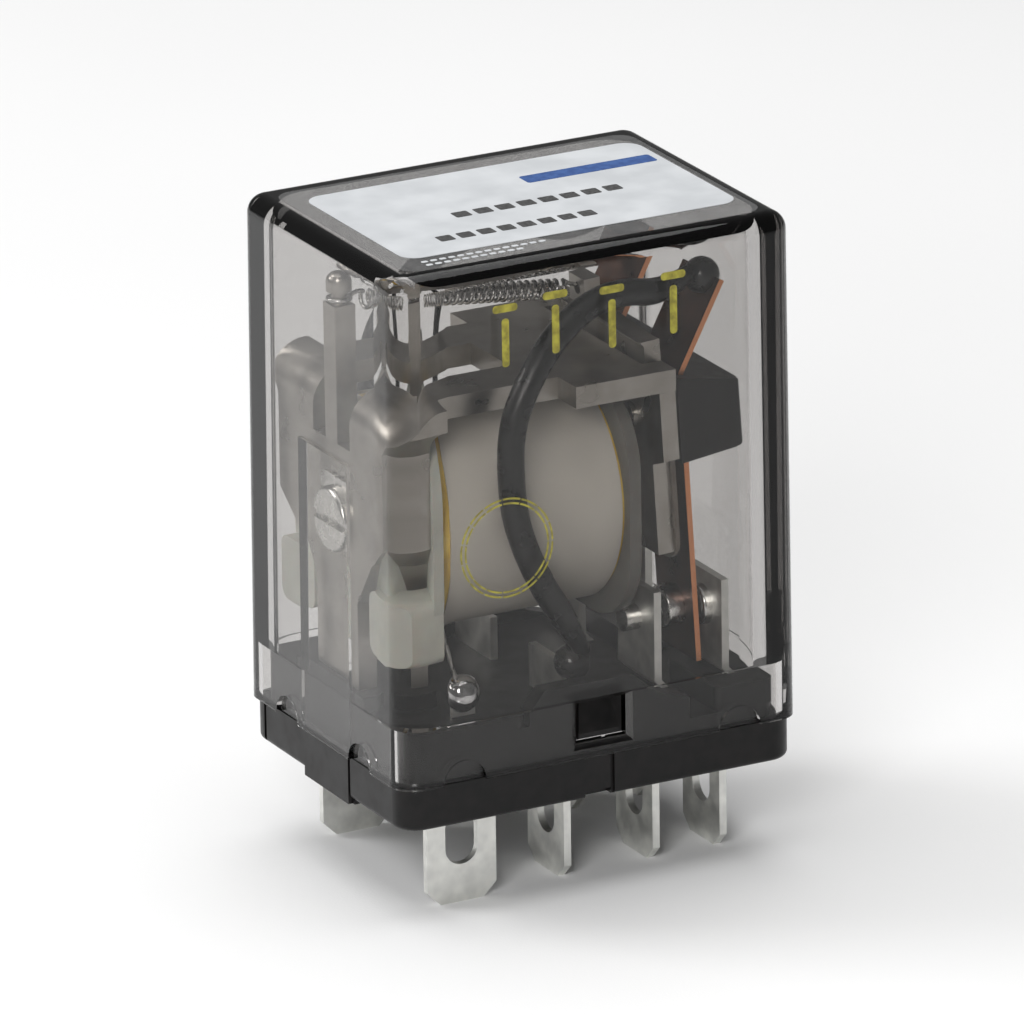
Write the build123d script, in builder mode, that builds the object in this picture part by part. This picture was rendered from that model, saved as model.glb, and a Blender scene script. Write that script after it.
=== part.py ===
"""Plug-in two-pole power relay in a clear snap-on cover.

Frame: millimetres, +Z up. The origin is the centre of the base's underside, the face that
seats on a socket. X runs along the long side: the frame's upright leg and the coil terminals
are at -X, the armature and the contacts at +X. The front is -Y. Each pole has a front and a
back copy, mirrored in the plane Y = 0.
"""
import os
from math import atan2, cos, degrees, pi, radians, sin, tan

from build123d import *

os.makedirs("parts", exist_ok=True)

SIDES = {"front": -1, "back": 1}

# How far a cutting shape runs past the material it cuts.
CUT_PAST = 1.0

# ---- Cover -------------------------------------------------------------------------------
COVER_LENGTH = 28.0
COVER_WIDTH = 21.4
COVER_BOTTOM = 2.8
COVER_TOP = 35.7
COVER_DRAFT = 0.25
COVER_CORNER = 1.6
COVER_EDGE = 1.2
WALL = 1.2
ROOF = 1.2
INNER_CORNER = 2.8
SKIRT_TOP = 6.4
SKIRT_WALL = 0.9
SKIRT_CORNER = 1.0
WINDOW_WIDTH = 3.48
WINDOW_BOTTOM = 3.8
WINDOW_HEIGHT = 2.6
WINDOW_BEVEL = 0.35
MOON_RADIUS = 1.45
MOON_DEPTH = 0.35
MOON_X = 9.6
MOON_Y = 4.9
GROOVE_HALF_WIDTH = 3.25
GROOVE_TOP = 21.8
GROOVE_DEPTH = 0.5

# ---- Label -------------------------------------------------------------------------------
LABEL_LENGTH = 24.8
LABEL_WIDTH = 17.9
LABEL_Y = -0.3
LABEL_CORNER = 1.2
LABEL_THICKNESS = 0.1

# ---- Base --------------------------------------------------------------------------------
FLANGE_LENGTH = 27.44
FLANGE_WIDTH = 20.84
FLANGE_HEIGHT = 2.8
FLANGE_CORNER = 1.6
FLANGE_EDGE = 0.4
BODY_LENGTH = 25.3
BODY_WIDTH = 18.7
BODY_CORNER = 1.0
CHANNEL_TOP = 3.7
PLATEAU_TOP = 5.2
PLATEAU_END = 6.6
COIL_END_TOP = 6.0
COIL_END_X = -4.6
TOWER_TOP = 5.3
TOWER_LEFT = 8.5
TOWER_RIGHT = 12.6
TOWER_IN = 2.6
TOWER_CORNER = 0.5
LEG_BLOCK_LEFT = -12.6
LEG_BLOCK_RIGHT = -9.9
LEG_BLOCK_HALF = 4.5
LEG_BLOCK_TOP = 7.0
WALL_IN = 8.1
WALL_OUTLINE = [(-4.6, 3.7), (-4.6, 6.2), (-3.6, 7.4), (2.5, 7.4), (4.4, 5.8), (6.6, 5.1), (6.6, 3.7)]
RAMP_BOTTOM = 3.95
RAMP_TOP = 6.2
RAMP_BOTTOM_HALF = 1.45
RAMP_TOP_HALF = 1.05
RAMP_REACH = 0.75
RAMP_LIP = 0.3
RAMP_TOP_STEP = 0.1
NOTCH_LEFT = -1.15
NOTCH_RIGHT = 0.75
NOTCH_HEIGHT = 0.5
NOTCH_DEPTH = 0.8
FRONT_GROOVE_X = 0.75
FRONT_GROOVE_WIDTH = 0.3
FRONT_GROOVE_DEPTH = 0.2
END_GROOVE_YS = (8.46, -3.0)
END_GROOVE_WIDTH = 0.3
PAD_LEFT = -13.72
PAD_RIGHT = -12.2
PAD_HALF = 3.1
PAD_DROP = 0.4

# ---- Terminals ---------------------------------------------------------------------------
BLADE_WIDTH = 4.8
BLADE_THICKNESS = 0.5
BLADE_LENGTH = 6.35
BLADE_CHAMFER = 0.9
HOLE_WIDTH = 2.25
HOLE_LENGTH = 3.5
HOLE_Z = -2.15
POLE_Y = 4.97
COMMON_X = -0.85
OPEN_X = 5.4
CLOSED_X = 10.15
COMMON_TOP = 8.0
STRIP_TOP = 11.6
FOOT_SHIFT = 0.55
FOOT_BOTTOM = 3.0
FOOT_TOP = 5.2
FOOT_RAMP = 0.6
COIL_BLADE_X = -8.22
COIL_BLADE_Y = 7.07
TANG_WIDTH = 1.7
TANG_TOP = 8.3
COIL_JOINT_RADIUS = 1.2
COIL_JOINT_Z = 7.4
LEAD_RADIUS = 0.18
COIL_LEAD_ROUTE = [(-9.7, 5.9, 12.4), (-9.7, 7.2, 11.4), (-9.3, 7.4, 10.0), (-8.5, 7.1, 8.2)]

# ---- Contacts ----------------------------------------------------------------------------
CONTACT_Z = 9.35
FIXED_RADIUS = 1.3
OPEN_HEIGHT = 0.65
CLOSED_HEIGHT = 0.61
TAIL_RADIUS = 0.8
OPEN_TAIL = 1.0
CLOSED_TAIL = 0.25

# ---- Iron frame --------------------------------------------------------------------------
YOKE_THICKNESS = 1.4
LEG_X = -12.2
LEG_FOOT = 3.0
YOKE_TOP = 26.3
YOKE_END = 6.35
YOKE_BEND = 2.4
YOKE_HALF = 8.3
LEG_OUTLINE = [(8.3, 24.9), (7.2, 23.5), (7.2, 17.3), (5.1, 15.7), (3.1, 12.7), (3.1, 3.0)]
SIDE_NOTCH_LEFT = -9.5
SIDE_NOTCH_RIGHT = -0.6
SIDE_NOTCH_HALF = 6.0
SLOT_HALF = 2.45
SLOT_END_X = -2.2
SLOT_BOTTOM = 22.4
END_NOTCH_X = 5.0
END_NOTCH_HALF = 6.4
POST_HALF = 0.8
POST_SHOULDER_Z = 31.2
POST_NECK_RADIUS = 0.5
POST_NECK_TOP = 32.0
POST_TOP = 33.2
POST_DOME = 0.6
SCREW_HOLE_RADIUS = 1.3

# ---- Coil --------------------------------------------------------------------------------
COIL_Z = 17.3
CORE_RADIUS = 3.0
POLE_RADIUS = 4.0
POLE_START_X = 4.1
POLE_FACE_X = 5.38
BORE_DEPTH = 4.0
RING_OUTER = 3.2
RING_INNER = 2.4
RING_DEPTH = 0.8
TUBE_RADIUS = 3.7
WINDING_RADIUS = 7.1
FILM_RADIUS = 7.3
TAPE_RADIUS = 7.45
BOBBIN_LEFT_FACE = -9.9
BOBBIN_RIGHT_FACE = 3.2
BOBBIN_RIGHT_END = 4.0
BOBBIN_HALF = 8.0
BOBBIN_BOTTOM = 9.5
BOBBIN_TOP = 24.75
BOBBIN_CORNER = 5.0
TAPE_LEFT = -8.9
TAPE_RIGHT = 3.0
LUG_IN = 4.1
LUG_OUT = 7.8
LUG_BOTTOM = 9.8
LUG_TOP = 14.0
LUG_X = -11.9
LUG_CORNER = 0.8
WASHER_THICKNESS = 0.2
WASHER_WIDTH = 4.0
WASHER_BOTTOM = 15.5
WASHER_TOP = 20.0
WASHER_CORNER = 0.6
HEAD_RADIUS = 2.1
HEAD_HEIGHT = 0.6
HEAD_SLOT_WIDTH = 0.55
HEAD_SLOT_DEPTH = 0.3
SHANK_RADIUS = 1.25

# ---- Armature and moving contacts, in the swing plane: u outwards, w up from the hinge -----
HINGE_X = 6.0
HINGE_Z = 24.9
REST_TILT = 3.3
ARMATURE_HALF_THICK = 0.55
ARMATURE_BOTTOM = -11.3
ARMATURE_WIDE_HALF = 7.8
ARMATURE_WIDE_TOP = -0.2
ARMATURE_NARROW_HALF = 6.3
ARMATURE_STEP = -4.7
ARMATURE_TAPER_END = -5.3
NECK_HALF = 6.2
TONGUE_CORNER = (6.1, 2.7)
TONGUE_MIDDLE = (2.9, 3.05)
TAB_HALF = 1.0
TAB_U = -1.23
TAB_BOTTOM = 4.0
TAB_TOP = 5.57
TAB_HOLE_W = 4.78
TAB_HOLE_RADIUS = 0.4
TONGUE_MITER = 0.3
TAB_MITER = 0.2
FACE_CUT_REACH = 3.0
SHEET_THICKNESS = 0.3
SHEET_HALF = 6.6
SHEET_TOP = -0.6
SHEET_BOTTOM = -12.0
SHEET_CORNER = 1.5
BLOCK_OUTLINE = [(0.85, -5.2), (0.85, 0.4), (5.5, -0.65), (5.7, -4.9)]
BLOCK_HALF = 7.5
BLOCK_EDGE = 0.5
ARM_U = 1.62
ARM_THICKNESS = 0.35
ARM_BOTTOM = -18.75
ARM_BEND = 0.3
ARM_TIP = (4.87, 5.7)
ARM_IN = 1.9
ARM_OUT = 6.6
MOVING_RADIUS = 1.35
MOVING_U = (0.27, 2.28)
MOVING_EDGE = 0.2
RIVET_Y = 4.0
RIVET_W = -2.6
RIVET_HEAD_RADIUS = 0.8
RIVET_HEAD_HEIGHT = 0.35
RIVET_SHANK_RADIUS = 0.55
RIVET_REACH = 0.5

# ---- Flexible leads and spring -------------------------------------------------------------
PIGTAIL_RADIUS = 0.85
PIGTAIL_ROUTE = [
    (9.26, 5.0, 31.2),
    (7.0, 5.5, 30.3),
    (3.9, 6.0, 31.1),
    (0.98, 6.8, 30.9),
    (-1.9, 7.8, 29.5),
    (-4.0, 8.38, 27.1),
    (-5.2, 8.42, 24.4),
    (-5.25, 8.42, 20.7),
    (-4.8, 8.42, 17.7),
    (-3.3, 8.42, 14.1),
    (-1.35, 8.0, 11.2),
    (0.35, 6.95, 8.6),
]
ARM_JOINT_RADIUS = 1.15
ARM_JOINT_SHIFT = 0.55
FOOT_JOINT_RADIUS = 1.15
FOOT_JOINT_SHIFT = 0.45
BEND_SHARE = 0.45
SPRING_RADIUS = 0.675
SPRING_WIRE_RADIUS = 0.14
SPRING_LEFT = (-9.9, 31.13)
SPRING_RIGHT = (2.9, 29.72)
SPRING_RING_Z = 31.5
RING_PLAY = 0.06
HOOK_RUN = 0.5
HOOK_RISE = 0.3
HOOK_OVERLAP = 0.1
HOOK_NECK = 0.6
HOOK_LIFT = 0.08
HOOK_REACH = 0.8


def cross_plane(y):
    """The XZ plane at a given Y, with sketch x along X and sketch y along Z."""
    return Plane.XZ.offset(-y)


def end_plane(x):
    """The YZ plane at a given X, with sketch x along Y and sketch y along Z."""
    return Plane.YZ.offset(x)


def swing_plane(y):
    """The armature's own XZ plane at a given Y, through the hinge, tilted open at rest."""
    tilt = radians(REST_TILT)
    return Plane(origin=(HINGE_X, y, HINGE_Z), x_dir=(cos(tilt), 0, sin(tilt)), z_dir=(0, -1, 0))


def swing_face(u):
    """A plane parallel to the armature's face, u outwards from the hinge, sketch x along Y."""
    tilt = radians(REST_TILT)
    origin = (HINGE_X + u * cos(tilt), 0, HINGE_Z + u * sin(tilt))
    return Plane(origin=origin, x_dir=(0, 1, 0), z_dir=(cos(tilt), 0, sin(tilt)))


def swing_point(u, w, y):
    """World position of a point given in the swing plane."""
    tilt = radians(REST_TILT)
    return (HINGE_X + u * cos(tilt) - w * sin(tilt), y, HINGE_Z + u * sin(tilt) + w * cos(tilt))


def finish(part, name):
    """Label a finished piece and write its STEP file."""
    part.label = name
    export_step(part, f"parts/{name}.step")


def bend_radii(points):
    """Radii of the arcs that round a route's corners, each as large as its two runs allow."""
    radii = []
    for before, corner, after in zip(points, points[1:], points[2:]):
        run_in = Vector(*corner) - Vector(*before)
        run_out = Vector(*after) - Vector(*corner)
        turn = radians(run_in.get_angle(run_out))
        shorter = min(run_in.length, run_out.length)
        radii.append(BEND_SHARE * shorter / tan(turn / 2))
    return radii


def wire_route(points):
    """Straight runs joined by tangent arcs."""
    with BuildLine() as route:
        FilletPolyline(*points, radius=bend_radii(points))
    return route.line


def round_wire(route, radius):
    """A round wire along a route."""
    with BuildPart() as wire:
        with BuildSketch(Plane(origin=route @ 0, z_dir=route % 0)):
            Circle(radius)
        sweep(path=route)
    return wire.part


# ---- Terminals -----------------------------------------------------------------------------
BLADE_OUTLINE = [
    (-BLADE_WIDTH / 2, 0),
    (-BLADE_WIDTH / 2, -BLADE_LENGTH + BLADE_CHAMFER),
    (-BLADE_WIDTH / 2 + BLADE_CHAMFER, -BLADE_LENGTH),
    (BLADE_WIDTH / 2 - BLADE_CHAMFER, -BLADE_LENGTH),
    (BLADE_WIDTH / 2, -BLADE_LENGTH + BLADE_CHAMFER),
    (BLADE_WIDTH / 2, 0),
]


def contact_blade(side, x, top, stepped):
    """A push-on blade in a YZ plane, with the strip above it; a stepped strip kicks to +X."""
    left = x - BLADE_THICKNESS / 2
    middle = side * POLE_Y
    with BuildPart() as blade:
        with BuildSketch(end_plane(left)):
            with BuildLine():
                Polyline(*[(middle + y, z) for y, z in BLADE_OUTLINE], close=True)
            make_face()
            with Locations((middle, HOLE_Z)):
                SlotOverall(HOLE_LENGTH, HOLE_WIDTH, rotation=90, mode=Mode.SUBTRACT)
        extrude(amount=BLADE_THICKNESS)
        edge = [(left, 0), (left, top)]
        if stepped:
            edge = [
                (left, 0),
                (left, FOOT_BOTTOM - FOOT_RAMP),
                (left + FOOT_SHIFT, FOOT_BOTTOM),
                (left + FOOT_SHIFT, FOOT_TOP),
                (left, FOOT_TOP + FOOT_RAMP),
                (left, top),
            ]
        with BuildSketch(cross_plane(middle)):
            with BuildLine():
                Polyline(*edge, *[(px + BLADE_THICKNESS, pz) for px, pz in reversed(edge)], close=True)
            make_face()
        extrude(amount=BLADE_WIDTH / 2, both=True)
    return blade.part


def coil_blade(side):
    """A push-on blade in an XZ plane, with a narrow tang for the coil's lead."""
    with BuildPart() as blade:
        with BuildSketch(cross_plane(side * COIL_BLADE_Y)):
            with BuildLine():
                Polyline(
                    *[(COIL_BLADE_X + x, z) for x, z in BLADE_OUTLINE],
                    (COIL_BLADE_X + BLADE_WIDTH / 2, CHANNEL_TOP),
                    (COIL_BLADE_X + TANG_WIDTH / 2, CHANNEL_TOP),
                    (COIL_BLADE_X + TANG_WIDTH / 2, TANG_TOP),
                    (COIL_BLADE_X - TANG_WIDTH / 2, TANG_TOP),
                    (COIL_BLADE_X - TANG_WIDTH / 2, CHANNEL_TOP),
                    (COIL_BLADE_X - BLADE_WIDTH / 2, CHANNEL_TOP),
                    close=True,
                )
            make_face()
            with Locations((COIL_BLADE_X, HOLE_Z)):
                SlotOverall(HOLE_LENGTH, HOLE_WIDTH, rotation=90, mode=Mode.SUBTRACT)
        extrude(amount=BLADE_THICKNESS / 2, both=True)
    return blade.part


def fixed_contact(side, face_x, height, tail_end_x):
    """A contact rivet: its head stands off the strip's face, its tail is on the other side."""
    with BuildPart() as rivet:
        with BuildSketch(end_plane(face_x)):
            with Locations((side * POLE_Y, CONTACT_Z)):
                Circle(FIXED_RADIUS)
        extrude(amount=height)
        rim = rivet.faces().sort_by(Axis.X)[-1 if height > 0 else 0]
        fillet(rim.edges(), abs(height) / 3)
        with BuildSketch(end_plane(face_x)):
            with Locations((side * POLE_Y, CONTACT_Z)):
                Circle(TAIL_RADIUS)
        extrude(amount=tail_end_x - face_x)
    return rivet.part


pieces = {}
for side_name, side in SIDES.items():
    open_face = OPEN_X + BLADE_THICKNESS / 2
    closed_face = CLOSED_X - BLADE_THICKNESS / 2
    open_contact = fixed_contact(side, open_face, OPEN_HEIGHT, open_face - BLADE_THICKNESS - OPEN_TAIL)
    closed_contact = fixed_contact(
        side, closed_face, -CLOSED_HEIGHT, closed_face + BLADE_THICKNESS + CLOSED_TAIL
    )
    pieces[f"open_contact_{side_name}"] = open_contact
    pieces[f"closed_contact_{side_name}"] = closed_contact
    pieces[f"coil_blade_{side_name}"] = coil_blade(side)
    pieces[f"common_blade_{side_name}"] = contact_blade(side, COMMON_X, COMMON_TOP, False)
    pieces[f"open_blade_{side_name}"] = contact_blade(side, OPEN_X, STRIP_TOP, True) - open_contact
    pieces[f"closed_blade_{side_name}"] = contact_blade(side, CLOSED_X, STRIP_TOP, True) - closed_contact
blade_names = [name for name in pieces if "blade" in name]

# ---- Iron frame ----------------------------------------------------------------------------
LEG_INNER = LEG_X + YOKE_THICKNESS
YOKE_UNDERSIDE = YOKE_TOP - YOKE_THICKNESS
BEND_X = LEG_X + YOKE_BEND
BEND_Z = YOKE_TOP - YOKE_BEND
with BuildPart() as yoke:
    with BuildSketch(Plane.XZ):
        with BuildLine():
            Line((LEG_X, LEG_FOOT), (LEG_X, BEND_Z))
            RadiusArc((LEG_X, BEND_Z), (BEND_X, YOKE_TOP), YOKE_BEND)
            Polyline(
                (BEND_X, YOKE_TOP),
                (YOKE_END, YOKE_TOP),
                (YOKE_END, YOKE_UNDERSIDE),
                (BEND_X, YOKE_UNDERSIDE),
            )
            RadiusArc((BEND_X, YOKE_UNDERSIDE), (LEG_INNER, BEND_Z), -(YOKE_BEND - YOKE_THICKNESS))
            Polyline((LEG_INNER, BEND_Z), (LEG_INNER, LEG_FOOT), (LEG_X, LEG_FOOT))
        make_face()
    extrude(amount=YOKE_HALF, both=True)
    # The leg narrows below the shoulders to a foot.
    with BuildSketch(end_plane(LEG_X - CUT_PAST)):
        for side in SIDES.values():
            with BuildLine():
                Polyline(
                    *[(side * y, z) for y, z in LEG_OUTLINE],
                    (side * (YOKE_HALF + CUT_PAST), LEG_FOOT),
                    (side * (YOKE_HALF + CUT_PAST), LEG_OUTLINE[0][1]),
                    close=True,
                )
            make_face()
    extrude(amount=SIDE_NOTCH_LEFT - LEG_X + CUT_PAST, mode=Mode.SUBTRACT)
    # Notches in the long edges let the flexible leads pass; the slot frees the spring post.
    with BuildSketch(Plane.XY.offset(YOKE_TOP + CUT_PAST)):
        for side in SIDES.values():
            with Locations(((SIDE_NOTCH_LEFT + SIDE_NOTCH_RIGHT) / 2, side * YOKE_HALF)):
                Rectangle(SIDE_NOTCH_RIGHT - SIDE_NOTCH_LEFT, 2 * (YOKE_HALF - SIDE_NOTCH_HALF))
        with Locations(((LEG_X - CUT_PAST + SLOT_END_X) / 2, 0)):
            Rectangle(SLOT_END_X - LEG_X + CUT_PAST, 2 * SLOT_HALF)
        with Locations((YOKE_END, 0)):
            Rectangle(2 * (YOKE_END - END_NOTCH_X), 2 * END_NOTCH_HALF)
    extrude(amount=SLOT_BOTTOM - YOKE_TOP - CUT_PAST, mode=Mode.SUBTRACT)
    with BuildSketch(end_plane(LEG_X - CUT_PAST)):
        with Locations((0, COIL_Z)):
            Circle(SCREW_HOLE_RADIUS)
    extrude(amount=YOKE_THICKNESS + 2 * CUT_PAST, mode=Mode.SUBTRACT)
    # The post rises from the leg inside the slot, with a turned neck and a domed head.
    post_x = LEG_X + YOKE_THICKNESS / 2
    with BuildSketch(Plane.XY.offset(SLOT_BOTTOM)):
        with Locations((post_x, 0)):
            Rectangle(YOKE_THICKNESS, 2 * POST_HALF)
    extrude(amount=POST_SHOULDER_Z - SLOT_BOTTOM)
    with BuildSketch(Plane.XY.offset(POST_SHOULDER_Z)):
        with Locations((post_x, 0)):
            Circle(POST_NECK_RADIUS)
    extrude(amount=POST_NECK_TOP - POST_SHOULDER_Z)
    with BuildSketch(Plane.XY.offset(POST_NECK_TOP)):
        with Locations((post_x, 0)):
            Circle(POST_HALF)
    extrude(amount=POST_TOP - POST_NECK_TOP)
    fillet(yoke.faces().sort_by(Axis.Z)[-1].edges(), POST_DOME)

# ---- Core, shading ring, washer, screw -------------------------------------------------------
with BuildPart() as core:
    with BuildSketch(end_plane(LEG_INNER)):
        with Locations((0, COIL_Z)):
            Circle(CORE_RADIUS)
    extrude(amount=POLE_START_X - LEG_INNER)
    with BuildSketch(end_plane(POLE_START_X)):
        with Locations((0, COIL_Z)):
            Circle(POLE_RADIUS)
    extrude(amount=POLE_FACE_X - POLE_START_X)
    with BuildSketch(end_plane(LEG_INNER)):
        with Locations((0, COIL_Z)):
            Circle(SHANK_RADIUS)
    extrude(amount=BORE_DEPTH, mode=Mode.SUBTRACT)
    with BuildSketch(end_plane(POLE_FACE_X)):
        with Locations((0, COIL_Z)):
            Circle(RING_OUTER)
            Circle(RING_INNER, mode=Mode.SUBTRACT)
    extrude(amount=-RING_DEPTH, mode=Mode.SUBTRACT)

with BuildPart() as shading_ring:
    with BuildSketch(end_plane(POLE_FACE_X - RING_DEPTH)):
        with Locations((0, COIL_Z)):
            Circle(RING_OUTER)
            Circle(RING_INNER, mode=Mode.SUBTRACT)
    extrude(amount=RING_DEPTH)

with BuildPart() as core_washer:
    with BuildSketch(end_plane(LEG_X - WASHER_THICKNESS)):
        with Locations((0, (WASHER_BOTTOM + WASHER_TOP) / 2)):
            RectangleRounded(WASHER_WIDTH, WASHER_TOP - WASHER_BOTTOM, WASHER_CORNER)
        with Locations((0, COIL_Z)):
            Circle(SCREW_HOLE_RADIUS, mode=Mode.SUBTRACT)
    extrude(amount=WASHER_THICKNESS)

head_base = LEG_X - WASHER_THICKNESS
with BuildPart() as core_screw:
    with BuildSketch(end_plane(head_base)):
        with Locations((0, COIL_Z)):
            Circle(HEAD_RADIUS)
    extrude(amount=-HEAD_HEIGHT)
    fillet(core_screw.faces().sort_by(Axis.X)[0].edges(), HEAD_HEIGHT / 2)
    with BuildSketch(end_plane(head_base - HEAD_HEIGHT)):
        with Locations((0, COIL_Z)):
            Rectangle(3 * HEAD_RADIUS, HEAD_SLOT_WIDTH)
    extrude(amount=HEAD_SLOT_DEPTH, mode=Mode.SUBTRACT)
    with BuildSketch(end_plane(head_base)):
        with Locations((0, COIL_Z)):
            Circle(SHANK_RADIUS)
    extrude(amount=LEG_INNER + BORE_DEPTH - head_base)

# ---- Bobbin, winding, film, tape --------------------------------------------------------------
with BuildPart() as bobbin:
    for left, right in ((LEG_INNER, BOBBIN_LEFT_FACE), (BOBBIN_RIGHT_FACE, BOBBIN_RIGHT_END)):
        with BuildSketch(end_plane(left)):
            with Locations((0, (BOBBIN_TOP + BOBBIN_BOTTOM) / 2)):
                RectangleRounded(2 * BOBBIN_HALF, BOBBIN_TOP - BOBBIN_BOTTOM, BOBBIN_CORNER)
        extrude(amount=right - left)
    with BuildSketch(end_plane(LEG_INNER)):
        with Locations((0, COIL_Z)):
            Circle(TUBE_RADIUS)
    extrude(amount=BOBBIN_RIGHT_END - LEG_INNER)
    # Lugs reach past the frame's leg on both sides.
    with BuildSketch(end_plane(LUG_X)):
        for side in SIDES.values():
            with Locations((side * (LUG_IN + LUG_OUT) / 2, (LUG_BOTTOM + LUG_TOP) / 2)):
                RectangleRounded(LUG_OUT - LUG_IN, LUG_TOP - LUG_BOTTOM, LUG_CORNER)
    extrude(amount=BOBBIN_LEFT_FACE - LUG_X)
    with BuildSketch(end_plane(LEG_INNER)):
        with Locations((0, COIL_Z)):
            Circle(CORE_RADIUS)
    extrude(amount=BOBBIN_RIGHT_END - LEG_INNER, mode=Mode.SUBTRACT)


def coil_layer(inner, outer, left, right):
    """A round sleeve about the coil's axis."""
    with BuildPart() as layer:
        with BuildSketch(end_plane(left)):
            with Locations((0, COIL_Z)):
                Circle(outer)
                Circle(inner, mode=Mode.SUBTRACT)
        extrude(amount=right - left)
    return layer.part


pieces["coil_winding"] = coil_layer(TUBE_RADIUS, WINDING_RADIUS, BOBBIN_LEFT_FACE, BOBBIN_RIGHT_FACE)
pieces["insulating_film"] = coil_layer(WINDING_RADIUS, FILM_RADIUS, BOBBIN_LEFT_FACE, BOBBIN_RIGHT_FACE)
pieces["coil_tape"] = coil_layer(FILM_RADIUS, TAPE_RADIUS, TAPE_LEFT, TAPE_RIGHT)

# ---- Coil leads and their solder ----------------------------------------------------------------
for side_name, side in SIDES.items():
    with BuildPart() as ball:
        with Locations((COIL_BLADE_X, side * COIL_BLADE_Y, COIL_JOINT_Z)):
            Sphere(COIL_JOINT_RADIUS)
    lead = round_wire(wire_route([(x, side * y, z) for x, y, z in COIL_LEAD_ROUTE]), LEAD_RADIUS)
    pieces[f"coil_lead_{side_name}"] = lead - ball.part
    pieces[f"coil_joint_{side_name}"] = ball.part - pieces[f"coil_blade_{side_name}"]

# ---- Armature ------------------------------------------------------------------------------
with BuildPart() as armature:
    # Side profile: a flat plate whose top leans back to the spring's hook tab.
    with BuildSketch(swing_plane(0)):
        with BuildLine():
            Polyline(
                (-ARMATURE_HALF_THICK, ARMATURE_BOTTOM),
                (-ARMATURE_HALF_THICK, TONGUE_CORNER[1] - TONGUE_MITER),
                (TAB_U - ARMATURE_HALF_THICK, TAB_BOTTOM - TAB_MITER),
                (TAB_U - ARMATURE_HALF_THICK, TAB_TOP),
                (TAB_U + ARMATURE_HALF_THICK, TAB_TOP),
                (TAB_U + ARMATURE_HALF_THICK, TAB_BOTTOM + TAB_MITER),
                (ARMATURE_HALF_THICK, TONGUE_CORNER[1]),
                (ARMATURE_HALF_THICK, ARMATURE_BOTTOM),
                close=True,
            )
        make_face()
    extrude(amount=ARMATURE_WIDE_HALF, both=True)
    # Face outline: wide at the hinge, a neck through the frame's notch, a concave tongue.
    with BuildSketch(swing_face(0)):
        with BuildLine():
            Polyline(
                (TAB_HALF, TAB_BOTTOM),
                (TAB_HALF, TAB_TOP),
                (-TAB_HALF, TAB_TOP),
                (-TAB_HALF, TAB_BOTTOM),
            )
            ThreePointArc(
                (-TAB_HALF, TAB_BOTTOM),
                (-TONGUE_MIDDLE[0], TONGUE_MIDDLE[1]),
                (-TONGUE_CORNER[0], TONGUE_CORNER[1]),
            )
            Polyline(
                *[(-y, w) for y, w in (
                    TONGUE_CORNER,
                    (NECK_HALF, ARMATURE_WIDE_TOP),
                    (ARMATURE_WIDE_HALF, ARMATURE_WIDE_TOP),
                    (ARMATURE_WIDE_HALF, ARMATURE_STEP),
                    (ARMATURE_NARROW_HALF, ARMATURE_TAPER_END),
                    (ARMATURE_NARROW_HALF, ARMATURE_BOTTOM),
                )],
                (ARMATURE_NARROW_HALF, ARMATURE_BOTTOM),
                (ARMATURE_NARROW_HALF, ARMATURE_TAPER_END),
                (ARMATURE_WIDE_HALF, ARMATURE_STEP),
                (ARMATURE_WIDE_HALF, ARMATURE_WIDE_TOP),
                (NECK_HALF, ARMATURE_WIDE_TOP),
                TONGUE_CORNER,
            )
            ThreePointArc(TONGUE_CORNER, TONGUE_MIDDLE, (TAB_HALF, TAB_BOTTOM))
        make_face()
    extrude(amount=FACE_CUT_REACH, both=True, mode=Mode.INTERSECT)
    with BuildSketch(swing_face(TAB_U - CUT_PAST)):
        with Locations((0, TAB_HOLE_W)):
            Circle(TAB_HOLE_RADIUS)
    extrude(amount=2 * CUT_PAST, mode=Mode.SUBTRACT)

with BuildPart() as insulating_sheet:
    with BuildSketch(swing_face(ARMATURE_HALF_THICK)):
        with Locations((0, (SHEET_TOP + SHEET_BOTTOM) / 2)):
            RectangleRounded(2 * SHEET_HALF, SHEET_TOP - SHEET_BOTTOM, SHEET_CORNER)
    extrude(amount=SHEET_THICKNESS)

with BuildPart() as block_rivets:
    with BuildSketch(swing_face(-ARMATURE_HALF_THICK - RIVET_HEAD_HEIGHT)):
        with Locations((RIVET_Y, RIVET_W), (-RIVET_Y, RIVET_W)):
            Circle(RIVET_HEAD_RADIUS)
    extrude(amount=RIVET_HEAD_HEIGHT)
    with BuildSketch(swing_face(-ARMATURE_HALF_THICK)):
        with Locations((RIVET_Y, RIVET_W), (-RIVET_Y, RIVET_W)):
            Circle(RIVET_SHANK_RADIUS)
    extrude(amount=2 * ARMATURE_HALF_THICK + SHEET_THICKNESS + RIVET_REACH)

with BuildPart() as insulator_block:
    with BuildSketch(swing_plane(0)):
        with BuildLine():
            Polyline(*BLOCK_OUTLINE, close=True)
        make_face()
    extrude(amount=BLOCK_HALF, both=True)
    fillet(insulator_block.faces().sort_by(Axis.X)[-1].edges(), BLOCK_EDGE)

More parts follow.
